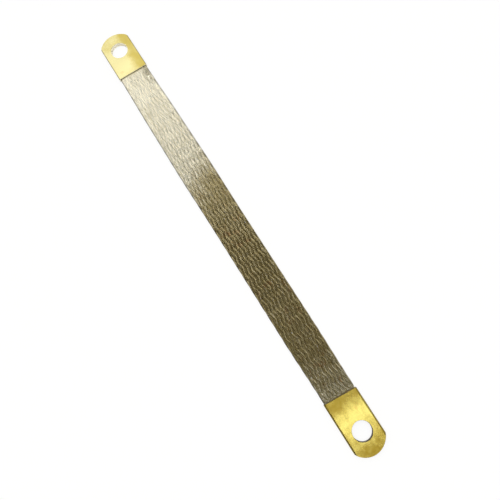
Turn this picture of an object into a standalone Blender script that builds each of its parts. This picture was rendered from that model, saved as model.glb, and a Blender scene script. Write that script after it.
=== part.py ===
"""Flexible busbar braid: a flattened tube of plaited tinned copper wire with a pressed brass ferrule on each end.

The strap lies along X and +Z is up. The origin is on the surface that it lies on, under the middle of
its length. The two ferrules are alike. The plait is a plain one-over-one tubular braid, so its floats
form a lattice of diamonds that runs right round the flattened tube.
"""

import math

import bmesh
import bpy
import numpy as np

MM = 0.001

# Between the centres of the two bolt holes
HOLE_SPACING = 200.0 * MM

# The plait where it lies free between the ferrules
CARRIERS = 36
CROSSING_SPACING = 3.12 * MM
FREE_WIDTH = 14.9 * MM
BRAID_THICKNESS = 1.8 * MM
FLOAT_HEIGHT = 0.3 * MM

# Beside the mouths it is drawn in to this much less than the ferrules' width, and spreads over this length
DRAWN_IN = 0.6 * MM
SPREAD_LENGTH = 30.0 * MM

# Handling has pushed it a little fuller at one place
BULGE = 0.5 * MM
BULGE_X = -28.0 * MM
BULGE_REACH = 18.0 * MM

# Beside the ferrules the wires run straight, so the floats grow over these lengths
LEFT_FADE = 4.0 * MM
RIGHT_FADE = 8.0 * MM

# The strap comes down to the surface that it lies on over this length from each mouth
DROP_LENGTH = 12.0 * MM

# A float's flat top, as half-widths across and along its strand, where a whole crossing is 1
FLOAT_TOP_ACROSS = 0.38
FLOAT_TOP_ALONG = 0.27

# The ferrules: brass sleeves pressed flat on the ends of the braid, punched and trimmed
FERRULE_LENGTH = 24.0 * MM
FERRULE_WIDTH = 14.7 * MM
FERRULE_WALL = 0.5 * MM
SIDE_RADIUS = 0.7 * MM
PRESSED_THICKNESS = 0.6 * MM
FIT_CLEARANCE = 0.3 * MM
HOLE_DIAMETER = 8.0 * MM
HOLE_FROM_TIP = 9.6 * MM
TIP_RISE = 4.4 * MM
TIP_CORNER_RADIUS = 0.8 * MM
MOUTH_ROUNDING = 0.15 * MM
HOLE_ROUNDING = 0.12 * MM

# How finely round forms are divided
SIDE_SEGMENTS = 5
HOLE_SEGMENTS = 48
ARC_SEGMENTS = 25
CORNER_SEGMENTS = 5

# How far the cutters reach past what they cut, and the sleeves past the tip that they are trimmed to
OVERRUN = 1.0 * MM

# The trimming die is this much wider than the sleeve on each side, so that it leaves the sides whole
DIE_MARGIN = 0.02 * MM

BORE_THICKNESS = PRESSED_THICKNESS + 2 * FIT_CLEARANCE
FERRULE_THICKNESS = BORE_THICKNESS + 2 * FERRULE_WALL
FERRULE_AXIS_HEIGHT = FERRULE_THICKNESS / 2
PRESSED_WIDTH = FERRULE_WIDTH - 2 * (FERRULE_WALL + FIT_CLEARANCE)
DRAWN_WIDTH = FERRULE_WIDTH - DRAWN_IN

TIP_X = HOLE_SPACING / 2 + HOLE_FROM_TIP
MOUTH_X = TIP_X - FERRULE_LENGTH

# The first and last rows of the lattice lie just inside the mouths, where the braid is already pressed
ROW_INSET = 0.5 * MM
END_ROW_X = MOUTH_X + ROW_INSET
ROWS = max(4, round(2 * END_ROW_X / CROSSING_SPACING))
ROW_SPACING = 2 * END_ROW_X / ROWS

# The pressed end swells to the free section over this length outside the mouth
NECK_LENGTH = 1.2 * MM


def clear_scene():
    for obj in list(bpy.data.objects):
        bpy.data.objects.remove(obj, do_unlink=True)


def make_collection(name):
    collection = bpy.data.collections.new(name)
    bpy.context.scene.collection.children.link(collection)
    return collection


def make_material(name, colour, roughness):
    """A bare metal: the colour is its reflection."""
    material = bpy.data.materials.new(name)
    material.use_nodes = True
    shader = material.node_tree.nodes["Principled BSDF"]
    shader.inputs["Base Color"].default_value = (*colour, 1.0)
    shader.inputs["Roughness"].default_value = roughness
    shader.inputs["Metallic"].default_value = 1.0
    return material


def add_object(name, mesh, collection, material=None):
    obj = bpy.data.objects.new(name, mesh)
    collection.objects.link(obj)
    if material:
        mesh.materials.append(material)
    return obj


def add_cutter(name, mesh, collection):
    obj = add_object(name, mesh, collection)
    obj.hide_render = True
    obj.display_type = "WIRE"
    return obj


def add_cut(obj, cutter):
    cut = obj.modifiers.new(cutter.name, "BOOLEAN")
    cut.operation = "DIFFERENCE"
    cut.solver = "EXACT"
    cut.object = cutter


def ease(start, end, x):
    """0 up to start, 1 from end on, and a smooth S between them."""
    t = np.clip((x - start) / (end - start), 0.0, 1.0)
    return t * t * (3.0 - 2.0 * t)


def mouth_swell(x):
    """0 where a ferrule presses the braid and 1 where it lies free."""
    return 1.0 - ease(MOUTH_X - NECK_LENGTH, END_ROW_X, np.abs(x))


def braid_half_width(x):
    """Half the braid's width over its floats."""
    drawn = ease(MOUTH_X - SPREAD_LENGTH, MOUTH_X, np.abs(x))
    bulge = BULGE * np.exp(-(((x - BULGE_X) / BULGE_REACH) ** 2))
    free = FREE_WIDTH + drawn * (DRAWN_WIDTH - FREE_WIDTH) + bulge
    return (PRESSED_WIDTH + mouth_swell(x) * (free - PRESSED_WIDTH)) / 2


def float_height(x):
    """How far the floats stand over the hollows between them."""
    left = ease(-END_ROW_X, LEFT_FADE - MOUTH_X, x)
    right = ease(MOUTH_X - RIGHT_FADE, END_ROW_X, x)
    return FLOAT_HEIGHT * left * (1.0 - right)


def braid_half_thickness(x):
    """Half the braid's thickness over its floats."""
    return (PRESSED_THICKNESS + mouth_swell(x) * (BRAID_THICKNESS - PRESSED_THICKNESS)) / 2


def braid_axis_height(x):
    """The braid leaves each ferrule at mid-height and comes down until it lies on the surface."""
    low = 1.0 - ease(MOUTH_X - DROP_LENGTH, MOUTH_X, np.abs(x))
    return FERRULE_AXIS_HEIGHT + low * (BRAID_THICKNESS / 2 - FERRULE_AXIS_HEIGHT)


def slab_section(turn, half_width, half_thickness):
    """Points and outward directions round a slab with full round sides, for parts of a turn in arc length.

    Turn 0 is the middle of the +Y side and 1/4 the middle of the top. Each quarter is a round quarter of
    the side and then half of a flat, and the other quarters mirror the first.
    """
    turn = np.mod(turn, 1.0)
    upper = turn < 0.5
    folded = np.where(upper, turn, 1.0 - turn)
    near = folded < 0.25
    quarter = np.where(near, folded, 0.5 - folded)
    round_length = half_thickness * math.pi / 2
    flat_length = half_width - half_thickness
    along = quarter * 4 * (round_length + flat_length)
    angle = np.minimum(along / half_thickness, math.pi / 2)
    past_round = np.maximum(along - round_length, 0.0)
    side = np.where(near, 1.0, -1.0)
    rise = np.where(upper, 1.0, -1.0)
    y = side * (flat_length - past_round + half_thickness * np.cos(angle))
    z = rise * half_thickness * np.sin(angle)
    return y, z, side * np.cos(angle), rise * np.sin(angle)


def braid_points(across, row, height):
    """Places lattice points on the strap.

    Across counts carriers round the tube, row counts crossings along it, and height is 0 in the hollows
    between floats and 1 on their tops.
    """
    x = row * ROW_SPACING - END_ROW_X
    floats = float_height(x)
    half_thickness = braid_half_thickness(x) - floats
    half_width = braid_half_width(x) - floats
    y, z, out_y, out_z = slab_section(across / CARRIERS, half_width, half_thickness)
    lift = height * floats
    return np.column_stack((x, y + lift * out_y, braid_axis_height(x) + z + lift * out_z))


def plait_lattice():
    """The free plait as one skin: a diamond for each crossing, with the float's flat top standing over it.

    The strands of one hand run towards +across and those of the other towards -across. A crossing is at
    each point whose across and row numbers add up to an even number, and its diamond's corners are one
    step away in each direction. On even columns the right-hand strand is on top, on odd ones the
    left-hand strand, and a float's top is long along its own strand and steep at its sides.
    """
    across_steps = np.arange(CARRIERS)
    points = []
    faces = []
    corner = {}
    for row in range(ROWS + 1):
        whole_ring = row in (0, ROWS)
        for column in range(CARRIERS):
            if whole_ring or (column + row) % 2:
                corner[column, row] = len(points)
                points.append((column, row, 0.0))
    for row in range(1, ROWS):
        for column in across_steps[row % 2 :: 2]:
            hand = 1 if column % 2 == 0 else -1
            top = len(points)
            for side, way in ((1, 1), (1, -1), (-1, -1), (-1, 1)):
                over = side * FLOAT_TOP_ACROSS
                along = way * FLOAT_TOP_ALONG
                points.append((column + hand * (along + over), row + along - over, 1.0))
            right = corner[(column + 1) % CARRIERS, row]
            left = corner[(column - 1) % CARRIERS, row]
            before = corner[column, row - 1]
            after = corner[column, row + 1]
            ring = (right, before, left, after) if hand > 0 else (left, before, right, after)
            tops = (top, top + 1, top + 2, top + 3)
            faces.append(tops)
            for k in range(4):
                following = (k + 1) % 4
                faces.append((tops[k], ring[k], ring[following], tops[following]))
    for column in range(CARRIERS):
        following = (column + 1) % CARRIERS
        for row, inner in ((0, 1), (ROWS, ROWS - 1)):
            if (column + row) % 2:
                faces.append((corner[column, row], corner[following, inner], corner[following, row]))
            else:
                faces.append((corner[column, row], corner[column, inner], corner[following, row]))
    return points, faces, corner


def close_end(points, faces, corner, row, end_x):
    """Carries the ring of a boundary row on to end_x as the pressed end, and closes it there."""
    end_row = (end_x + END_ROW_X) / ROW_SPACING
    first = len(points)
    points.extend((column, end_row, 0.0) for column in range(CARRIERS))
    for column in range(CARRIERS):
        following = (column + 1) % CARRIERS
        faces.append((corner[column, row], corner[following, row], first + following, first + column))
    faces.append(tuple(range(first, first + CARRIERS)))


def make_braid(collection, material, cutters):
    points, faces, corner = plait_lattice()
    close_end(points, faces, corner, 0, -TIP_X - OVERRUN)
    close_end(points, faces, corner, ROWS, TIP_X + OVERRUN)
    lattice = np.array(points, dtype=float)
    places = braid_points(lattice[:, 0], lattice[:, 1], lattice[:, 2])
    mesh = bpy.data.meshes.new("braid")
    mesh.from_pydata(places.tolist(), [], faces)
    shape = bmesh.new()
    shape.from_mesh(mesh)
    bmesh.ops.recalc_face_normals(shape, faces=shape.faces)
    shape.to_mesh(mesh)
    shape.free()
    braid = add_object("braid", mesh, collection, material)
    for cutter in cutters:
        add_cut(braid, cutter)
    return braid


def make_sleeve(name, side, collection, material, cutters):
    """A tube pressed in a die: an open skin with rounded sides, thickened inwards and rounded at its rims."""
    flat_y = FERRULE_WIDTH / 2 - SIDE_RADIUS
    flat_z = FERRULE_THICKNESS / 2 - SIDE_RADIUS
    angles = np.linspace(0.0, math.pi / 2, SIDE_SEGMENTS + 1)
    upper = [(flat_y + SIDE_RADIUS * math.cos(a), flat_z + SIDE_RADIUS * math.sin(a)) for a in angles]
    right = [(y, -z) for y, z in reversed(upper)] + upper
    section = right + [(-y, -z) for y, z in right]
    shape = bmesh.new()
    ends = sorted((side * MOUTH_X, side * (TIP_X + OVERRUN)))
    rings = [[shape.verts.new((x, y, FERRULE_AXIS_HEIGHT + z)) for y, z in section] for x in ends]
    for k in range(len(section)):
        shape.faces.new((rings[0][k - 1], rings[0][k], rings[1][k], rings[1][k - 1]))
    mesh = bpy.data.meshes.new(name)
    shape.to_mesh(mesh)
    shape.free()
    mesh.shade_smooth()
    sleeve = add_object(name, mesh, collection, material)
    wall = sleeve.modifiers.new("wall", "SOLIDIFY")
    wall.thickness = FERRULE_WALL
    wall.offset = -1.0
    wall.use_even_offset = True
    rims = sleeve.modifiers.new("rounded_rims", "BEVEL")
    rims.width = min(MOUTH_ROUNDING, 0.45 * FERRULE_WALL)
    rims.segments = 2
    rims.limit_method = "ANGLE"
    rims.angle_limit = math.radians(50)
    for cutter in cutters:
        add_cut(sleeve, cutter)
    return sleeve


def tip_outline(half_width, rise, corner_radius):
    """The trimmed tip as (distance back from the tip, y), from one side round to the other.

    One arc spans the width with the given rise, and a small round joins it to each straight side.
    """
    arc_radius = (half_width**2 + rise**2) / (2 * rise)
    corner_y = half_width - corner_radius
    corner_forward = math.sqrt(max((arc_radius - corner_radius) ** 2 - corner_y**2, 0.0))
    turn = math.atan2(corner_y, corner_forward)
    points = []
    for angle in np.linspace(math.pi / 2, turn, CORNER_SEGMENTS + 1)[:-1]:
        forward = corner_forward + corner_radius * math.cos(angle)
        points.append((arc_radius - forward, corner_y + corner_radius * math.sin(angle)))
    for angle in np.linspace(turn, -turn, ARC_SEGMENTS + 1):
        points.append((arc_radius - arc_radius * math.cos(angle), arc_radius * math.sin(angle)))
    points.extend((back, -y) for back, y in reversed(points[:CORNER_SEGMENTS]))
    return points


def make_tip_cutter(name, side, collection):
    """The die that shears the tip round: a block whose inner face is the tip's outline."""
    die_half_width = FERRULE_WIDTH / 2 + DIE_MARGIN
    outline = tip_outline(die_half_width, TIP_RISE, TIP_CORNER_RADIUS)
    wide = die_half_width + OVERRUN
    far = -3 * OVERRUN
    plan = [(outline[0][0], wide), *outline, (outline[-1][0], -wide), (far, -wide), (far, wide)]
    shape = bmesh.new()
    low = [shape.verts.new((side * (TIP_X - back), y, -OVERRUN)) for back, y in plan]
    base = shape.faces.new(low)
    lifted = bmesh.ops.extrude_face_region(shape, geom=[base])["geom"]
    lifted_points = [item for item in lifted if isinstance(item, bmesh.types.BMVert)]
    bmesh.ops.translate(shape, verts=lifted_points, vec=(0, 0, FERRULE_THICKNESS + 2 * OVERRUN))
    bmesh.ops.recalc_face_normals(shape, faces=shape.faces)
    mesh = bpy.data.meshes.new(name)
    shape.to_mesh(mesh)
    shape.free()
    return add_cutter(name, mesh, collection)


def make_hole_cutter(name, side, collection):
    """The punch: a turned pin that flares at both faces of the ferrule, where punching rounds the rim."""
    radius = HOLE_DIAMETER / 2
    flare = HOLE_ROUNDING
    top = FERRULE_THICKNESS
    half_profile = [
        (0.0, top + OVERRUN),
        (radius + flare + OVERRUN, top + OVERRUN),
        (radius + flare, top),
        (radius, top - flare),
        (radius, flare),
        (radius + flare, 0.0),
        (radius + flare + OVERRUN, -OVERRUN),
        (0.0, -OVERRUN),
    ]
    mesh = bpy.data.meshes.new(name)
    edges = [(k, k + 1) for k in range(len(half_profile) - 1)]
    mesh.from_pydata([(r, 0.0, z) for r, z in half_profile], edges, [])
    cutter = add_cutter(name, mesh, collection)
    cutter.location.x = side * HOLE_SPACING / 2
    cutter.rotation_euler.z = math.pi / HOLE_SEGMENTS
    turned = cutter.modifiers.new("turned", "SCREW")
    turned.steps = HOLE_SEGMENTS
    turned.render_steps = HOLE_SEGMENTS
    turned.use_merge_vertices = True
    turned.merge_threshold = 0.00001
    turned.use_smooth_shade = False
    return cutter


def main():
    clear_scene()
    parts = make_collection("flexible_busbar_braid")
    tools = make_collection("cutters")
    tinned_copper = make_material("tinned_copper_wire", (0.56, 0.52, 0.43), 0.42)
    pale_brass = make_material("left_ferrule_brass", (0.90, 0.76, 0.36), 0.32)
    deep_brass = make_material("right_ferrule_brass", (0.84, 0.67, 0.26), 0.34)

    cutters = []
    for end, side, brass in (("left", -1, pale_brass), ("right", 1, deep_brass)):
        tip = make_tip_cutter(end + "_tip_die", side, tools)
        hole = make_hole_cutter(end + "_hole_punch", side, tools)
        make_sleeve(end + "_ferrule", side, parts, brass, (tip, hole))
        cutters += [tip, hole]
    make_braid(parts, tinned_copper, cutters)


main()
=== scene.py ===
"""The looks of a flexible busbar braid: the wires of its plait, its ferrules, floor and light."""

import math

import bmesh
import bpy
import numpy as np
from mathutils import Matrix, Vector


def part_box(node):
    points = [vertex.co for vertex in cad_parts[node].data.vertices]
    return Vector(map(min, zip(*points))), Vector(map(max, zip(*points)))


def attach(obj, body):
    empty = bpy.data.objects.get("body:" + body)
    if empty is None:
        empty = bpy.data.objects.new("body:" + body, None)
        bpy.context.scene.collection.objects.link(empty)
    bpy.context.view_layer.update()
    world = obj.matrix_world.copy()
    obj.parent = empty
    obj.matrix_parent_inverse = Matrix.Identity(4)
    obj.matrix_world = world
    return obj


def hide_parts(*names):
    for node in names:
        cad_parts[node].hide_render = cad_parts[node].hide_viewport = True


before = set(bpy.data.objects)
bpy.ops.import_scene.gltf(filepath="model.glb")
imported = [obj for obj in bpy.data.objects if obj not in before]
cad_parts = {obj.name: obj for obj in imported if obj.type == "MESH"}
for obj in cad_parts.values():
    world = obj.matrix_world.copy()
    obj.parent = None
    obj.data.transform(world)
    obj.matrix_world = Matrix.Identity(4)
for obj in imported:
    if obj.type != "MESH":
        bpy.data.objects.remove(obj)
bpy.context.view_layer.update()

# The plait: 36 flat strands of drawn, tinned copper wire, 18 of each hand, laid one over one into a
# tube that is then rolled flat. Each strand is a ribbon of parallel wires that bows over a crossing
# and dives under the next. Drifts are shares of a strand's width, and rates radians a crossing.
MM = 0.001
STRANDS_OF_A_HAND = 18
WIRES_IN_A_STRAND = 8
WIRE_RADIUS = 0.098 * MM
WIRE_SIDES = 5
STEPS_A_CROSSING = 5
STRAND_FILL = 0.97
STRAND_CROWN = 0.09 * MM
STRAND_DRIFT = 0.03
STRAND_DRIFT_RATES = (0.23, 0.61, 1.47)
WIRE_DRIFT = 0.016
WIRE_DRIFT_RATES = (0.31, 0.83, 1.9)
# The lit +Y side takes this share of the painted shade on the strap's sides.
SHADE_SHARE_ON_LIT_SIDE = 0.7

# How high a strand bows at stations along the strap. The bows are low in the left half, rise towards
# the right end, calm down at both mouths and are pressed out inside them. Each wire also lifts a
# little by itself, more to the right, and at most by its room, which lies in the skin left free
# under the outside of the CAD braid.
WEAVE_STATIONS = (-30.0 * MM, -10.0 * MM, 15.0 * MM, 48.0 * MM, 72.0 * MM)
WEAVE_HEIGHTS = (0.075 * MM, 0.09 * MM, 0.145 * MM, 0.25 * MM, 0.30 * MM)
WEAVE_HEIGHT_AT_MOUTH = 0.09 * MM
WEAVE_HEIGHT_INSIDE = 0.05 * MM
WEAVE_CALMS_OVER = 7.0 * MM
WEAVE_FLAT_TOPS = 1.3
WEAVE_UNEVENNESS = 0.14
WEAVE_UNEVEN_RATE = 2.1
WEAVE_SINKS = 0.06
SHARE_AT_THE_SIDES = 0.3
WIRE_LIFT = 0.018 * MM
WIRE_LIFT_RATES = (0.47, 1.3, 2.7, 4.6, 7.0)
WIRE_LIFT_ROOM = 0.027 * MM
SKIN = 0.045 * MM
UNRULY_FROM = -10.0 * MM
UNRULY_TO = 45.0 * MM
UNRULY_SHARE = 0.55

# The free braid between the two mouths. It is as wide as the CAD braid and comes down to the floor
# as that does, while the left ferrule was trimmed a little short and the right one reaches a little
# further over the wires.
_, left_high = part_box("left_ferrule")
right_low, right_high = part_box("right_ferrule")
MOUTH_SHIFT = 0.6 * MM
LEFT_MOUTH_X = left_high.x - MOUTH_SHIFT
RIGHT_MOUTH_X = right_low.x - MOUTH_SHIFT
TIP_X = right_high.x
FERRULE_WIDTH = right_high.y - right_low.y
FERRULE_THICKNESS = right_high.z - right_low.z
AXIS_HEIGHT = (right_high.z + right_low.z) / 2
FERRULE_WALL = 0.5 * MM
BORE_THICKNESS = FERRULE_THICKNESS - 2 * FERRULE_WALL

END_ROW_X = right_low.x + 0.5 * MM
ROWS = 55
ROW_SPACING = 2 * END_ROW_X / ROWS
BRAID_THICKNESS = 1.8 * MM
FREE_WIDTH = 14.9 * MM
DRAWN_WIDTH = FERRULE_WIDTH - 0.6 * MM
SPREAD_LENGTH = 30.0 * MM
BULGE = 0.5 * MM
BULGE_X = -28.0 * MM
BULGE_REACH = 18.0 * MM
DROP_LENGTH = 12.0 * MM
NECK_LENGTH = 1.2 * MM
PRESSED_GAP = 0.03 * MM
PRESSED_THICKNESS = BORE_THICKNESS - 2 * PRESSED_GAP
PRESSED_WIDTH = FERRULE_WIDTH - 2 * (FERRULE_WALL + PRESSED_GAP)
WIRES_RUN_IN = 2.0 * MM


def ease(start, end, x):
    """0 up to start, 1 from end on, and between them 3 t^2 - 2 t^3 of the share t of the way."""
    t = np.clip((x - start) / (end - start), 0.0, 1.0)
    return t * t * (3.0 - 2.0 * t)


def outside(x):
    """How far x lies along the free braid from the nearer mouth; less than 0 inside a ferrule."""
    return np.minimum(x - LEFT_MOUTH_X, RIGHT_MOUTH_X - x)


def swell(x):
    """0 where a ferrule presses the braid and 1 where it lies free, eased over the neck."""
    return ease(-NECK_LENGTH / 2, NECK_LENGTH, outside(x))


def braid_half_width(x):
    """Half the width: free, eased in towards the mouths, and fuller by a bell curve at one place."""
    drawn = 1.0 - ease(0.0, SPREAD_LENGTH, outside(x))
    bulge = BULGE * np.exp(-(((x - BULGE_X) / BULGE_REACH) ** 2))
    free = FREE_WIDTH + drawn * (DRAWN_WIDTH - FREE_WIDTH) + bulge
    return (PRESSED_WIDTH + swell(x) * (free - PRESSED_WIDTH)) / 2


def braid_half_thickness(x):
    """Half the thickness over the strands: free along the strap and pressed inside the mouths."""
    return (PRESSED_THICKNESS + swell(x) * (BRAID_THICKNESS - PRESSED_THICKNESS)) / 2


def braid_axis_height(x):
    """The height of the strap's middle: the ferrules' own at the mouths, easing down to the floor."""
    low = ease(0.0, DROP_LENGTH, outside(x))
    return AXIS_HEIGHT + low * (BRAID_THICKNESS / 2 - AXIS_HEIGHT)


def round_the_tube(turn, half_width, half_thickness):
    """Point and outward direction round a flat slab with round sides, where turn 0..1 is arc length.

    Turn 0 is the middle of the +Y side. The first quarter follows a quarter circle and then half the
    top, and the other three quarters are its mirror images.
    """
    turn = np.mod(turn, 1.0)
    upper = turn < 0.5
    folded = np.where(upper, turn, 1.0 - turn)
    near = folded < 0.25
    quarter = np.where(near, folded, 0.5 - folded)
    round_length = half_thickness * math.pi / 2
    flat_length = half_width - half_thickness
    along = quarter * 4 * (round_length + flat_length)
    angle = np.minimum(along / half_thickness, math.pi / 2)
    past_round = np.maximum(along - round_length, 0.0)
    side = np.where(near, 1.0, -1.0)
    rise = np.where(upper, 1.0, -1.0)
    y = side * (flat_length - past_round + half_thickness * np.cos(angle))
    z = rise * half_thickness * np.sin(angle)
    return y, z, side * np.cos(angle), rise * np.sin(angle)


def weave_height(x):
    """How far a strand bows out: read between the stations, and calmer at the mouths and inside."""
    free = np.interp(x, WEAVE_STATIONS, WEAVE_HEIGHTS)
    calm = 1.0 - ease(0.0, WEAVE_CALMS_OVER, outside(x))
    free = free + calm * (WEAVE_HEIGHT_AT_MOUTH - free)
    return WEAVE_HEIGHT_INSIDE + swell(x) * (free - WEAVE_HEIGHT_INSIDE)


def strand_paths(hand, strands, rng):
    """Centre lines of the wires of some strands of one hand, and the outward directions there.

    A wire keeps its place across its strand but for a slow drift, so it advances one carrier
    sideways for each crossing along the strap. Its height is a cosine of the crossings passed, a
    little uneven, its tops flattened by a hyperbolic tangent, and highest where the strand lies on
    top. A parabola across the strand and a small sinking come off that, and a wander of the wire's
    own is added and cut off at the top. Round the strap's sides only a share of the height is left.
    """
    reach = WIRES_RUN_IN / ROW_SPACING
    steps = int(round((ROWS + 2 * reach) * STEPS_A_CROSSING))
    row = np.linspace(-reach, ROWS + reach, steps + 1)[None, :]
    strand = np.repeat(np.asarray(strands, dtype=float), WIRES_IN_A_STRAND)[:, None]
    lane = (np.arange(WIRES_IN_A_STRAND) + 0.5) / WIRES_IN_A_STRAND - 0.5
    lane = np.tile(lane, len(strands))[:, None]

    def wander(size, rates):
        """A sum of sines along each wire, of the given radians a crossing, at random phases."""
        phase = rng.uniform(0.0, 2 * math.pi, (len(strand), len(rates)))
        share = rng.uniform(0.4, 1.0, (len(strand), len(rates)))
        sines = (share[:, [k]] * np.sin(rate * row + phase[:, [k]]) for k, rate in enumerate(rates))
        return size * sum(sines)

    strand_phase = rng.uniform(0.0, 2 * math.pi, (len(strands), len(STRAND_DRIFT_RATES)))
    strand_phase = np.repeat(strand_phase, WIRES_IN_A_STRAND, axis=0)
    drift = sum(
        np.sin(rate * row + strand_phase[:, [k]]) for k, rate in enumerate(STRAND_DRIFT_RATES)
    )
    place = strand + lane * STRAND_FILL + STRAND_DRIFT * drift
    place = place + wander(WIRE_DRIFT, WIRE_DRIFT_RATES)
    x = np.broadcast_to(row * ROW_SPACING - END_ROW_X, place.shape)
    across = 2 * place + hand * row
    crossings = (across + hand * row) / 2
    wave = hand * np.cos(math.pi * (crossings + strand))
    wave = np.tanh(WEAVE_FLAT_TOPS * wave) / math.tanh(WEAVE_FLAT_TOPS)
    height = weave_height(x)
    uneven = 1.0 - WEAVE_UNEVENNESS + WEAVE_UNEVENNESS * np.sin(WEAVE_UNEVEN_RATE * drift)
    lift = height * uneven * wave
    lift = lift - STRAND_CROWN * swell(x) * (2 * lane) ** 2 - WEAVE_SINKS * height
    unruly = 1.0 + UNRULY_SHARE * ease(UNRULY_FROM, UNRULY_TO, x)
    lift = lift + swell(x) * unruly * wander(WIRE_LIFT, WIRE_LIFT_RATES)
    lift = np.minimum(lift, height + WIRE_LIFT_ROOM)
    y, z, out_y, out_z = round_the_tube(
        across / (2 * STRANDS_OF_A_HAND),
        braid_half_width(x) - WIRE_RADIUS - SHARE_AT_THE_SIDES * height - SKIN,
        braid_half_thickness(x) - WIRE_RADIUS - height - SKIN,
    )
    lift = lift * (SHARE_AT_THE_SIDES + (1.0 - SHARE_AT_THE_SIDES) * out_z**2)
    centre = np.stack((x, y + lift * out_y, braid_axis_height(x) + z + lift * out_z), axis=-1)
    outward = np.stack((np.zeros_like(x), out_y, out_z), axis=-1)
    return centre, outward


def wires_mesh(name, centre, outward, tone):
    """Round wires along centre lines: a ring is a circle across the path, and each wire has two caps.

    Each point carries its wire's tone, and how far its wire has turned from the flats to the strap's
    sides, a little less on the lit +Y side, as the share for the painted shade on the sides.
    """
    along = np.gradient(centre, axis=1)
    along /= np.linalg.norm(along, axis=-1, keepdims=True)
    sideways = np.cross(outward, along)
    sideways /= np.linalg.norm(sideways, axis=-1, keepdims=True)
    up = np.cross(along, sideways)
    angle = (np.arange(WIRE_SIDES) * 2 * math.pi / WIRE_SIDES + math.pi / 2)[:, None]
    circle = np.cos(angle) * sideways[:, :, None, :] + np.sin(angle) * up[:, :, None, :]
    points = centre[:, :, None, :] + WIRE_RADIUS * circle
    wires, rings = centre.shape[:2]
    number = np.arange(wires * rings * WIRE_SIDES).reshape(wires, rings, WIRE_SIDES)
    following = np.roll(number, -1, axis=2)
    quads = (number[:, :-1], following[:, :-1], following[:, 1:], number[:, 1:])
    quads = np.stack(quads, axis=-1).reshape(-1, 4)
    caps = np.concatenate((number[:, 0, ::-1], number[:, -1, :]))
    corners = np.concatenate((quads.ravel(), caps.ravel()))
    sizes = np.concatenate((np.full(len(quads), 4), np.full(len(caps), WIRE_SIDES)))
    mesh = bpy.data.meshes.new(name)
    mesh.vertices.add(number.size)
    mesh.vertices.foreach_set("co", points.astype(np.float32).ravel())
    mesh.loops.add(len(corners))
    mesh.loops.foreach_set("vertex_index", corners.astype(np.int32))
    mesh.polygons.add(len(sizes))
    mesh.polygons.foreach_set("loop_start", (np.cumsum(sizes) - sizes).astype(np.int32))
    mesh.update(calc_edges=True)
    mesh.shade_smooth()
    at_side = np.abs(outward[:, :, 1]) * np.where(outward[:, :, 1] < 0.0, 1.0, SHADE_SHARE_ON_LIT_SIDE)
    for key, values in (("wire_tone", np.repeat(tone, rings)), ("at_side", at_side.ravel())):
        layer = mesh.attributes.new(key, "FLOAT", "POINT")
        layer.data.foreach_set("value", np.repeat(values, WIRE_SIDES).astype(np.float32))
    return mesh


class Field:
    """A number or colour that varies over a surface: a node's output. Arithmetic adds Math nodes."""

    def __init__(self, recipe, socket):
        self.recipe = recipe
        self.socket = socket

    def math(self, operation, first, second):
        return self.recipe.node("ShaderNodeMath", {"operation": operation}, {0: first, 1: second})

    def __add__(self, other):
        return self.math("ADD", self, other)

    def __mul__(self, other):
        return self.math("MULTIPLY", self, other)

    def __sub__(self, other):
        return self.math("SUBTRACT", self, other)

    def __rsub__(self, other):
        return self.math("SUBTRACT", other, self)

    __radd__ = __add__
    __rmul__ = __mul__

    def between(self, low, high):
        """0 at low and below, 1 at high and above, with a smooth S between."""
        settings = {"interpolation_type": "SMOOTHSTEP"}
        inputs = {"Value": self, "From Min": low, "From Max": high}
        return self.recipe.node("ShaderNodeMapRange", settings, inputs)


class Recipe:
    """Builds the nodes of one material or world."""

    def __init__(self, tree):
        self.tree = tree

    def plug(self, node, inputs):
        """Links a Field to a socket, or writes a plain value on it."""
        for key, value in inputs.items():
            if isinstance(value, Field):
                self.tree.links.new(value.socket, node.inputs[key])
            else:
                node.inputs[key].default_value = value

    def node(self, kind, settings=None, inputs=None, output=0):
        """Adds a node, its settings first and then its sockets' values or links; gives one output."""
        node = self.tree.nodes.new(kind)
        for key, value in (settings or {}).items():
            setattr(node, key, value)
        self.plug(node, inputs or {})
        return Field(self, node.outputs[output])

    def place(self, stretch=(1.0, 1.0, 1.0)):
        """Object coordinates, drawn out along an axis whose stretch is under 1."""
        coordinates = self.node("ShaderNodeTexCoord", output=3)
        return self.node("ShaderNodeMapping", {}, {"Vector": coordinates, "Scale": stretch})

    def axis(self, vector, number):
        """One of the three parts of a vector."""
        return self.node("ShaderNodeSeparateXYZ", {}, {"Vector": vector}, output=number)

    def attribute(self, name):
        """A number that the mesh carries at each point."""
        return self.node("ShaderNodeAttribute", {"attribute_name": name}, output=2)

    def noise(self, place, scale, detail=3.0, distortion=0.0):
        """Cloudy noise about 0.5, with scale clouds to a metre."""
        inputs = {"Vector": place, "Scale": scale, "Detail": detail, "Distortion": distortion}
        return self.node("ShaderNodeTexNoise", {}, inputs)

    def blend(self, factor, first, second):
        """A mix of two colours."""
        inputs = {0: factor, 6: first, 7: second}
        return self.node("ShaderNodeMix", {"data_type": "RGBA"}, inputs, output=2)

    def bump(self, height, strength, distance):
        """The surface's direction over a relief of the given height field."""
        inputs = {"Height": height, "Strength": strength, "Distance": distance}
        return self.node("ShaderNodeBump", {}, inputs)


def metal(name, recipe_of, metallic=1.0):
    """A bare metal: recipe_of gives colour, roughness and normal. Under 1, metallic makes it matt."""
    material = bpy.data.materials.new(name)
    material.use_nodes = True
    recipe = Recipe(material.node_tree)
    colour, roughness, normal = recipe_of(recipe)
    shader = material.node_tree.nodes["Principled BSDF"]
    inputs = {"Base Color": colour, "Metallic": metallic, "Roughness": roughness, "Normal": normal}
    recipe.plug(shader, inputs)
    return material


def add_piece(name, mesh, material, node):
    """Puts a finished mesh into the scene as a piece that stands in for a CAD node."""
    mesh.materials.append(material)
    piece = bpy.data.objects.new(name, mesh)
    bpy.context.scene.collection.objects.link(piece)
    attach(piece, "root")
    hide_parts(node)
    return piece


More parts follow.
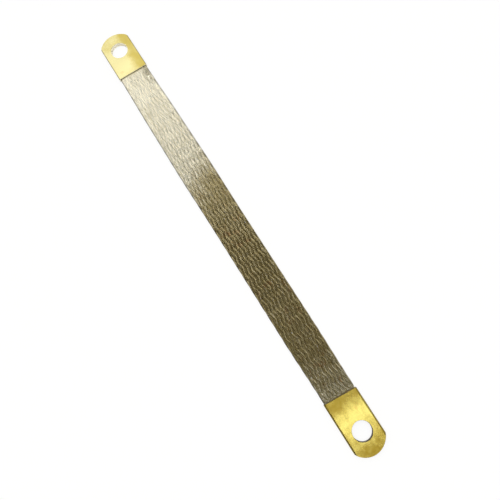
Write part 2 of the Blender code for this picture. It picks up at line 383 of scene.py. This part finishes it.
def tinned_wire(recipe):
    """Bare tinned wire, each with a shade of its own, under cloudy tarnish and fine drawing marks.

    The tarnish deepens past a slanting line left of the middle, partly as painted shade where the
    bright end's reflection gives way to the dim room, and is lighter at the right mouth, partly as
    painted light of the lamp over the right end.
    Right of the line some wires are worn to coppery spots. The strap's sides are painted dark with
    shade, less on the lit +Y side, and its +Y edge is soiled by the left mouth.
    """
    clean, tarnished_and_shaded = (0.93, 0.895, 0.765, 1.0), (0.59, 0.51, 0.29, 1.0)
    copper, wire_side_shade, dirt = (0.60, 0.37, 0.20, 1.0), (0.14, 0.12, 0.07, 1.0), (0.30, 0.27, 0.16, 1.0)
    place = recipe.place()
    x, y = recipe.axis(place, 0), recipe.axis(place, 1)
    tone = recipe.attribute("wire_tone")
    cloud = recipe.noise(place, 110.0, 4.0)
    speck = recipe.noise(recipe.place((0.35, 1.0, 1.0)), 900.0, 2.0)
    # Past this slanting line the wire darkens: partly tarnish, partly painted shade where the bright
    # end's reflection gives way to the dim room.
    past_line = (x + y * 0.8).between(-37.0 * MM, -10.0 * MM)
    # By the right mouth the wire is lighter: partly its own lighter colour, partly painted light of
    # the lamp over the right end.
    right_mouth = x.between(62.0 * MM, 86.0 * MM)
    tarnish_and_shade = cloud * 0.5 + tone * 0.3 + speck * 0.25 + (past_line * 0.62 - right_mouth * 0.45)
    tarnish_and_shade = tarnish_and_shade.between(0.50, 1.20)
    worn = recipe.noise(place, 260.0, 2.0).between(0.58, 0.68) * tone.between(0.4, 0.9)
    worn = worn * x.between(-30.0 * MM, 10.0 * MM)
    # Painted shade on the strap's sides, where the wires turn away from the flats.
    shaded_sides = recipe.attribute("at_side").between(0.25, 0.95)
    left_mouth = y.between(2.5 * MM, 6.5 * MM) * (1.0 - x.between(-80.0 * MM, -68.0 * MM))
    soiled = left_mouth * (cloud * 0.6 + speck * 0.4).between(0.44, 0.56)
    colour = recipe.blend(tarnish_and_shade, clean, tarnished_and_shaded)
    colour = recipe.blend(worn * 0.6, colour, copper)
    colour = recipe.blend(shaded_sides * 0.8, colour, wire_side_shade)
    colour = recipe.blend(soiled * 0.75, colour, dirt)
    drawn = recipe.noise(recipe.place((0.12, 1.0, 1.0)), 5000.0, 2.0)
    return colour, 0.16 + tarnish_and_shade * 0.09, recipe.bump(drawn, 0.3, 0.02 * MM)


wire_metal = metal("tinned_copper_wire", tinned_wire)
rng = np.random.default_rng(36)
for hand, hand_name in ((1, "right_hand"), (-1, "left_hand")):
    for third, strands in enumerate(np.split(np.arange(STRANDS_OF_A_HAND), 3)):
        centre, outward = strand_paths(hand, strands, rng)
        name = f"{hand_name}_strands_{third + 1}"
        mesh = wires_mesh(name, centre, outward, rng.uniform(0.0, 1.0, len(centre)))
        add_piece(name, mesh, wire_metal, "braid")

# The ferrules: brass sleeves pressed flat on the plait, then punched with the bolt hole and sheared
# round at the tip. Both are the same piece turned end for end, with the shallow hollows that the
# press leaves in the flats, and the pressed and sheared end of the plait fills each of them.
HOLE_X = 100.0 * MM
HOLE_RADIUS = 4.0 * MM
SIDE_RADIUS = 0.7 * MM
TIP_CORNER_RADIUS = 0.8 * MM
RIM_ROUNDING = 0.12 * MM
RIM_ANGLE = math.radians(50)
EYE_BACK_X = HOLE_X - HOLE_RADIUS - 1.6 * MM
PRESS_WAVES = 7
PRESS_DEPTH = 0.007 * MM
PRESS_PITCH = (7.0 * MM, 17.0 * MM)
PLAIT_SIDE_RADIUS = 0.2 * MM
PLAIT_SET_BACK = 0.02 * MM
MERGE_DISTANCE = 0.003 * MM
PLATE_STEPS = 28
EYE_STEPS = 28
PALM_STEPS = 20
CORNER_STEPS = 7
RAY_STEPS = 9


class Trim:
    """Where a ferrule's mouth and sheared tip lie at each y, for the ferrule that points to +X.

    Mouth and tip are their places on the middle line, rise is how far the tip's arc stands forward,
    and a slant is how far a cut runs forward for each metre across.
    """

    def __init__(self, mouth, mouth_slant, tip, rise, tip_slant):
        self.mouth = mouth
        self.mouth_slant = mouth_slant
        self.tip = tip
        self.rise = rise
        self.tip_slant = tip_slant

    def mouth_x(self, y):
        """A straight cut, a little askew."""
        return self.mouth + self.mouth_slant * y

    def tip_x(self, y):
        """One arc over the whole width with a small round into each side, a little askew."""
        half_width = FERRULE_WIDTH / 2
        arc_radius = (half_width**2 + self.rise**2) / (2 * self.rise)
        corner_y = half_width - TIP_CORNER_RADIUS
        corner_forward = math.sqrt((arc_radius - TIP_CORNER_RADIUS) ** 2 - corner_y**2)
        meet_y = arc_radius * corner_y / math.hypot(corner_y, corner_forward)
        off = np.minimum(np.abs(y), half_width)
        on_arc = np.sqrt(np.maximum(arc_radius**2 - off**2, 0.0))
        past_corner = np.maximum(TIP_CORNER_RADIUS**2 - (off - corner_y) ** 2, 0.0)
        forward = np.where(off < meet_y, on_arc, corner_forward + np.sqrt(past_corner))
        return self.tip - arc_radius + forward + self.tip_slant * y


def side_profile(half_width, half_thickness, radius):
    """The section's +Y side, from lower flat to upper: a quarter circle, a straight and another."""
    angle = np.linspace(0.0, math.pi / 2, CORNER_STEPS + 1)
    y = half_width - radius + radius * np.cos(angle)
    z = half_thickness - radius + radius * np.sin(angle)
    return np.concatenate((y[::-1], y)), np.concatenate((-z[::-1], z))


def eye_patches(half_width, half_thickness, radius, trim):
    """A flattened sleeve from the mouth to the sheared tip, pierced by the hole, as grids of points.

    The palm is a tube: the section carried from the mouth to just behind the hole. Round the hole
    each flat is rays from the rim out to the palm, the sides and the tip, and each side is the
    rounded side of the section carried forward to where the tip's outline cuts it off. Each grid
    comes with whether its rows close on themselves.
    """
    flat = half_width - radius
    across = np.linspace(-flat, flat, PLATE_STEPS + 1)
    side_y, side_z = side_profile(half_width, half_thickness, radius)
    level = np.full(PLATE_STEPS, half_thickness)
    section_y = np.concatenate((across[:-1], side_y[:-1], -across[:-1], -side_y[:-1]))
    section_z = np.concatenate((-level, side_z[:-1], level, -side_z[:-1]))
    share = np.linspace(0.0, 1.0, PALM_STEPS + 1)[:, None]
    rows = np.ones_like(share)
    mouth = trim.mouth_x(section_y)
    palm_x = mouth + share * (EYE_BACK_X - mouth)
    patches = [((palm_x, rows * section_y, rows * section_z), True)]

    share = np.linspace(0.0, 1.0, EYE_STEPS + 1)[:, None]
    rows = np.ones_like(share)
    for side in (1, -1):
        side_x = EYE_BACK_X + share * (trim.tip_x(side * side_y) - EYE_BACK_X)
        patches.append(((side_x, side * rows * side_y, side * rows * side_z), False))

    share = share[:-1, 0]
    tip = trim.tip_x(across)
    edge_x = EYE_BACK_X + share * (tip[-1] - EYE_BACK_X)
    other_edge_x = tip[0] + share * (EYE_BACK_X - tip[0])
    back_x = np.full(PLATE_STEPS, EYE_BACK_X)
    border_x = np.concatenate((edge_x, tip[::-1][:-1], other_edge_x, back_x))
    edge_y = np.full(EYE_STEPS, flat)
    border_y = np.concatenate((edge_y, across[::-1][:-1], -edge_y, across[:-1]))
    bearing = np.arctan2(border_y, border_x - HOLE_X)
    rim_x = HOLE_X + HOLE_RADIUS * np.cos(bearing)
    rim_y = HOLE_RADIUS * np.sin(bearing)
    ray = np.linspace(0.0, 1.0, RAY_STEPS + 1)[:, None]
    eye_x = rim_x + ray * (border_x - rim_x)
    eye_y = rim_y + ray * (border_y - rim_y)
    for side in (1, -1):
        patches.append(((eye_x, eye_y, np.full_like(eye_x, side * half_thickness)), True))
    return patches


def closing_patches(half_width, half_thickness, radius, trim, eye):
    """The walls that close the same sheet into a slab: its mouth end, its sheared tip and its hole.

    Each is one row of faces, straight up from the lower edge of the opening to the upper one.
    """
    side_y, side_z = side_profile(half_width, half_thickness, radius)
    upper_y, upper_z = np.split(side_y, 2)[1], np.split(side_z, 2)[1]
    flat = half_width - radius
    across = np.linspace(flat, -flat, PLATE_STEPS + 1)[1:-1]
    level = np.full(PLATE_STEPS - 1, half_thickness)
    y = np.concatenate((upper_y, across, -upper_y[::-1]))
    z = np.concatenate((upper_z, level, upper_z[::-1]))
    low_and_high = np.array([[-1.0], [1.0]])
    rows = np.ones_like(low_and_high)
    ends = (trim.mouth_x(y), trim.tip_x(y))
    patches = [((rows * x, rows * y, low_and_high * z), False) for x in ends]
    rim_x, rim_y = eye[0][0], eye[1][0]
    rim_z = low_and_high * np.full_like(rim_x, half_thickness)
    patches.append(((rows * rim_x, rows * rim_y, rim_z), True))
    return patches


def grid_quads(rows, columns, closed):
    """Quads of a grid numbered row by row, their normals along row direction x column direction."""
    number = np.arange(rows * columns).reshape(rows, columns)
    following = np.roll(number, -1, axis=1)
    last = columns if closed else columns - 1
    quads = (number[:-1, :last], number[1:, :last], following[1:, :last], following[:-1, :last])
    return np.stack(quads, axis=-1).reshape(-1, 4)


def joined_mesh(name, patches, side):
    """One sheet of grids that share borders, turned to its end of the strap and set at its height."""
    points, quads, count = [], [], 0
    for (x, y, z), closed in patches:
        grid = np.stack((side * x, side * y, z + AXIS_HEIGHT), axis=-1).reshape(-1, 3)
        points.append(grid)
        quads.append(grid_quads(*x.shape, closed) + count)
        count += len(grid)
    mesh = bpy.data.meshes.new(name)
    mesh.from_pydata(np.concatenate(points).tolist(), [], np.concatenate(quads).tolist())
    sheet = bmesh.new()
    sheet.from_mesh(mesh)
    bmesh.ops.remove_doubles(sheet, verts=sheet.verts, dist=MERGE_DISTANCE)
    bmesh.ops.recalc_face_normals(sheet, faces=sheet.faces)
    sheet.to_mesh(mesh)
    sheet.free()
    mesh.shade_smooth()
    return mesh


def press_hollows(x, y, z, rng):
    """Lowers the flats by up to a tenth of a millimetre: a sum of broad sines, and none at the sides.

    The sines of the upper flat run a little ahead of the lower one's. Grids that share a border take
    the same random draws, so that their hollows meet there.
    """
    face = np.sign(z)
    hollow = np.zeros_like(x)
    for _ in range(PRESS_WAVES):
        heading = rng.uniform(0.0, math.pi)
        pitch = rng.uniform(*PRESS_PITCH)
        run = x * math.cos(heading) + y * math.sin(heading)
        phase = 2 * math.pi * run / pitch + rng.uniform(0.0, 6.0) + 0.9 * face
        hollow += PRESS_DEPTH * (1.0 - np.sin(phase))
    flat = FERRULE_WIDTH / 2 - SIDE_RADIUS
    level = ease(0.97, 1.0, np.abs(z) / (FERRULE_THICKNESS / 2))
    level = level * (1.0 - ease(0.8 * flat, flat, np.abs(y)))
    return z - face * level * hollow


def pressed_brass(recipe):
    """Satin brass with soft blotches of tarnish, some reddish, and a finely pitted, scratched skin.

    The right ferrule is deep yellow, and darker by its mouth and at its tip, partly by stains and
    partly by painted shade past the lamp's reflection. The left one is paler, a painted highlight,
    with a golden flush towards +Y. Where the flats turn over into the sides it is painted dark with
    shade.
    """
    bright, deep, pale = (0.86, 0.73, 0.20, 1.0), (0.62, 0.43, 0.05, 1.0), (0.78, 0.71, 0.36, 1.0)
    gold, reddish, brass_side_shade = (0.58, 0.47, 0.12, 1.0), (0.62, 0.34, 0.08, 1.0), (0.20, 0.16, 0.06, 1.0)
    turns_from, turns_to = 6.84 * MM, 7.25 * MM
    place = recipe.place()
    x, y = recipe.axis(place, 0), recipe.axis(place, 1)
    # The left ferrule is painted paler as a highlight, the whiteness of its bright reflection.
    left = 1.0 - x.between(-60.0 * MM, -20.0 * MM)
    # Darker by the right mouth and at the tip: partly stains, partly painted shade where the lamp's
    # reflection falls off.
    by_the_mouth = 1.0 - (x + y * 0.3).between(83.0 * MM, 95.0 * MM) - left
    darker_tip = x.between(97.0 * MM, 108.0 * MM)
    flushed = y.between(1.0 * MM, 6.0 * MM) * left
    stain_and_shade = by_the_mouth * 0.34 + darker_tip * 0.12 + flushed * 0.36 + left * 0.04 + 0.08
    blotch = recipe.noise(place, 170.0, 0.8, 0.2)
    mottle = recipe.noise(place, 620.0, 2.0)
    tarnish_and_shade = blotch * 0.58 + mottle * (0.27 + darker_tip * 0.12) + stain_and_shade
    tarnish_and_shade = tarnish_and_shade.between(0.42, 0.95)
    rosy = recipe.noise(place, 230.0, 2.0, 1.0).between(0.60, 0.80)
    # Painted shade where the flats turn over into the sides.
    turned_over = (y * y).between(turns_from**2, turns_to**2)
    colour = recipe.blend(tarnish_and_shade, recipe.blend(left, bright, pale), recipe.blend(left, deep, gold))
    colour = recipe.blend(rosy * (0.4 - left * 0.15), colour, reddish)
    colour = recipe.blend(turned_over * 0.8, colour, brass_side_shade)
    scratch = recipe.noise(recipe.place((0.06, 1.0, 1.0)), 2600.0, 2.0)
    pitted = recipe.noise(place, 900.0, 1.0)
    normal = recipe.bump(scratch * 0.5 + pitted, 0.12, 0.03 * MM)
    return colour, 0.20 + tarnish_and_shade * 0.10 + scratch * 0.03, normal


def sheared_brass(recipe):
    """The sleeves' cut edges, scored square to the sheet: pale on the left, a painted reflection of
    the white table, and near black on the right, painted shade with some dirt.
    """
    fresh_with_painted_light, dirt_and_shade = (0.95, 0.91, 0.72, 1.0), (0.09, 0.065, 0.02, 1.0)
    # The left edges are painted pale as a reflection of the white table, the right ones dark as shade
    # with some dirt.
    right = recipe.axis(recipe.place(), 0).between(-30.0 * MM, 30.0 * MM)
    scored = recipe.noise(recipe.place((1.0, 1.0, 0.08)), 3000.0, 2.0)
    colour = recipe.blend(right, fresh_with_painted_light, dirt_and_shade)
    return colour, 0.38 + scored * 0.2, recipe.bump(scored, 0.3, 0.03 * MM)


def sheared_wires(recipe):
    """Wire ends cut through, in grains the size of a wire: pale on the left, a painted reflection of
    the white table, and near black on the right, painted shade with some dirt.
    """
    core, tin, dirt_and_shade = (0.90, 0.85, 0.74, 1.0), (0.96, 0.94, 0.88, 1.0), (0.05, 0.035, 0.015, 1.0)
    place = recipe.place()
    # The left ends are painted pale as a reflection of the white table, the right ones dark as shade
    # with some dirt.
    right = recipe.axis(place, 0).between(-30.0 * MM, 30.0 * MM)
    grain = recipe.noise(place, 4200.0, 1.0).between(0.4, 0.6)
    colour = recipe.blend(grain, core, tin)
    colour = recipe.blend(right * 0.97, colour, dirt_and_shade)
    return colour, 0.5 - grain * 0.12, recipe.bump(grain, 0.4, 0.04 * MM)


brass = metal("ferrule_brass", pressed_brass)
cut_brass = metal("sheared_brass", sheared_brass, metallic=0.3)
cut_ends = metal("sheared_wire_ends", sheared_wires, metallic=0.3)
left_trim = Trim(
    mouth=-LEFT_MOUTH_X, mouth_slant=0.0, tip=TIP_X - 0.5 * MM, rise=3.9 * MM, tip_slant=0.0
)
right_trim = Trim(
    mouth=RIGHT_MOUTH_X, mouth_slant=0.06, tip=TIP_X - 0.01 * MM, rise=4.4 * MM, tip_slant=-0.035
)
for node, side, trim in (("left_ferrule", -1, left_trim), ("right_ferrule", 1, right_trim)):
    patches = [
        ((x, y, press_hollows(x, y, z, np.random.default_rng(8 + side))), closed)
        for (x, y, z), closed in eye_patches(
            FERRULE_WIDTH / 2, FERRULE_THICKNESS / 2, SIDE_RADIUS, trim
        )
    ]
    name = node + "_sleeve"
    sleeve = add_piece(name, joined_mesh(name, patches, side), brass, node)
    wall = sleeve.modifiers.new("wall", "SOLIDIFY")
    wall.thickness = FERRULE_WALL
    wall.offset = -1.0
    wall.use_even_offset = True
    sleeve.data.materials.append(cut_brass)
    wall.material_offset_rim = 1
    rims = sleeve.modifiers.new("rims", "BEVEL")
    rims.width = RIM_ROUNDING
    rims.segments = 3
    rims.limit_method = "ANGLE"
    rims.angle_limit = RIM_ANGLE
    rims.harden_normals = True

    plait_trim = Trim(
        mouth=trim.mouth + WIRES_RUN_IN,
        mouth_slant=trim.mouth_slant,
        tip=trim.tip - PLAIT_SET_BACK,
        rise=trim.rise,
        tip_slant=trim.tip_slant,
    )
    slab = (PRESSED_WIDTH / 2, PRESSED_THICKNESS / 2, PLAIT_SIDE_RADIUS, plait_trim)
    patches = eye_patches(*slab)
    upper_eye, _ = patches[-1]
    patches += closing_patches(*slab, upper_eye)
    name = node.replace("ferrule", "pressed_end")
    add_piece(name, joined_mesh(name, patches, side), cut_ends, "braid")

# Floor, light and camera. The strap lies on a white table. Beyond its left end the room is bright,
# the rest of it is dim and warm, and a small soft lamp hangs over the right end. The camera hangs
# over the right half and looks down at a slant.
FLOOR_SIZE = 6.0
FLOOR_GAP = 0.02 * MM
WHITE = (1.0, 1.0, 1.0, 1.0)


def white_table():
    """Matt white paint, which keeps the strap's shadow, under a share of white glow of strength 1.

    The share is large to the camera, so that the table is white, and small in the metal.
    """
    material = bpy.data.materials.new("white_table")
    material.use_nodes = True
    tree = material.node_tree
    tree.nodes.remove(tree.nodes["Principled BSDF"])
    recipe = Recipe(tree)
    paint = recipe.node("ShaderNodeBsdfDiffuse", {}, {"Color": (0.92, 0.92, 0.92, 1.0)})
    glow = recipe.node("ShaderNodeEmission", {}, {"Color": WHITE, "Strength": 1.0})
    camera_ray = recipe.node("ShaderNodeLightPath")
    glossy_ray = recipe.node("ShaderNodeLightPath", output=3)
    share = camera_ray * 0.85 + glossy_ray * 0.1
    surface = recipe.node("ShaderNodeMixShader", {}, {0: share, 1: paint, 2: glow})
    recipe.plug(tree.nodes["Material Output"], {"Surface": surface})
    return material


def room_light(recipe):
    """The room's colour and brightness in each direction, of which x, y and z are the parts.

    The bright end lies beyond the strap's left end, with a soft box of light in it. In the dim rest
    are a pale wall towards +Y, a pale door and a low window beyond the right end, a faint glow
    almost overhead and a paler band low down. All of it falls to a fifth under the horizon, and the
    dim rest is tinted warm. The camera sees plain white in place of all this.
    """
    warm, neutral = (1.0, 0.92, 0.64, 1.0), (1.0, 0.99, 0.96, 1.0)
    direction = recipe.node("ShaderNodeTexCoord")
    x, y, z = (recipe.axis(direction, number) for number in range(3))
    bright_end = 1.0 - x.between(-0.452, -0.400)
    soft_box = bright_end * x.between(-0.63, -0.54) * (1.0 - (y * y).between(0.25, 0.60))
    pale_wall = y.between(0.25, 0.55) * (1.0 - y.between(0.80, 0.95))
    pale_door = x.between(0.34, 0.40) * (1.0 - x.between(0.50, 0.60))
    overhead_glow = x.between(0.07, 0.12) * (1.0 - x.between(0.17, 0.21))
    low_window = x.between(0.50, 0.64) * (1.0 - z.between(0.34, 0.48))
    horizon = 1.0 - z.between(0.35, 0.50)
    dim_rest = pale_wall * 0.26 + pale_door * 0.25 + overhead_glow * 0.20
    dim_rest = dim_rest + low_window * 1.1 + horizon * 0.22
    light = 0.04 + bright_end * 1.05 + soft_box * 1.1 + (1.0 - bright_end) * dim_rest
    strength = light * (0.2 + z.between(0.02, 0.28) * 0.8)
    tint = recipe.blend(bright_end + low_window * 0.5, warm, neutral)
    camera_ray = recipe.node("ShaderNodeLightPath")
    colour = recipe.blend(camera_ray, tint, WHITE)
    return colour, strength + camera_ray * (1.0 - strength)


def soft_lamp(name, place, lean, size, radiance):
    """A panel of the given size and surface brightness that looks down, leaned about the Y axis."""
    lamp = bpy.data.lights.new(name, "AREA")
    lamp.shape = "RECTANGLE"
    lamp.size, lamp.size_y = size
    lamp.energy = radiance * math.pi * size[0] * size[1]
    holder = bpy.data.objects.new(name, lamp)
    bpy.context.scene.collection.objects.link(holder)
    holder.location = place
    holder.rotation_euler = (0.0, lean, 0.0)
    return holder


bpy.ops.mesh.primitive_plane_add(size=FLOOR_SIZE, location=(0.0, 0.0, -FLOOR_GAP))
floor = bpy.context.object
floor.name = "floor"
floor.data.materials.append(white_table())

room = bpy.data.worlds.new("room")
room.use_nodes = True
recipe = Recipe(room.node_tree)
colour, strength = room_light(recipe)
recipe.plug(room.node_tree.nodes["Background"], {"Color": colour, "Strength": strength})
bpy.context.scene.world = room

soft_lamp("near_lamp", place=(0.252, 0.012, 0.66), lean=0.225, size=(0.095, 0.22), radiance=2.05)
table_lamp = soft_lamp("table_lamp", place=(0.0, 0.0, 1.2), lean=0.0, size=(1.5, 1.5), radiance=1.9)
table_lamp.visible_glossy = False

CAMERA_PLACE = Vector((53.4, -7.5, 180.1)) * MM
CAMERA_AIM = Vector((16.0, 1.3, 0.0)) * MM
PICTURE_RIGHT = Vector((0.5279, 0.8465, -0.0684))
camera_data = bpy.data.cameras.new("camera")
camera_data.lens = 30.96
camera_data.sensor_width = 36.0
camera_data.clip_start = 0.01
camera_data.clip_end = 20.0
camera = bpy.data.objects.new("camera", camera_data)
backwards = (CAMERA_PLACE - CAMERA_AIM).normalized()
rightwards = (PICTURE_RIGHT - PICTURE_RIGHT.dot(backwards) * backwards).normalized()
turned = Matrix((rightwards, backwards.cross(rightwards), backwards)).transposed().to_4x4()
camera.matrix_world = Matrix.Translation(CAMERA_PLACE) @ turned
bpy.context.scene.collection.objects.link(camera)
bpy.context.scene.camera = camera
bpy.context.scene.view_settings.view_transform = "Standard"
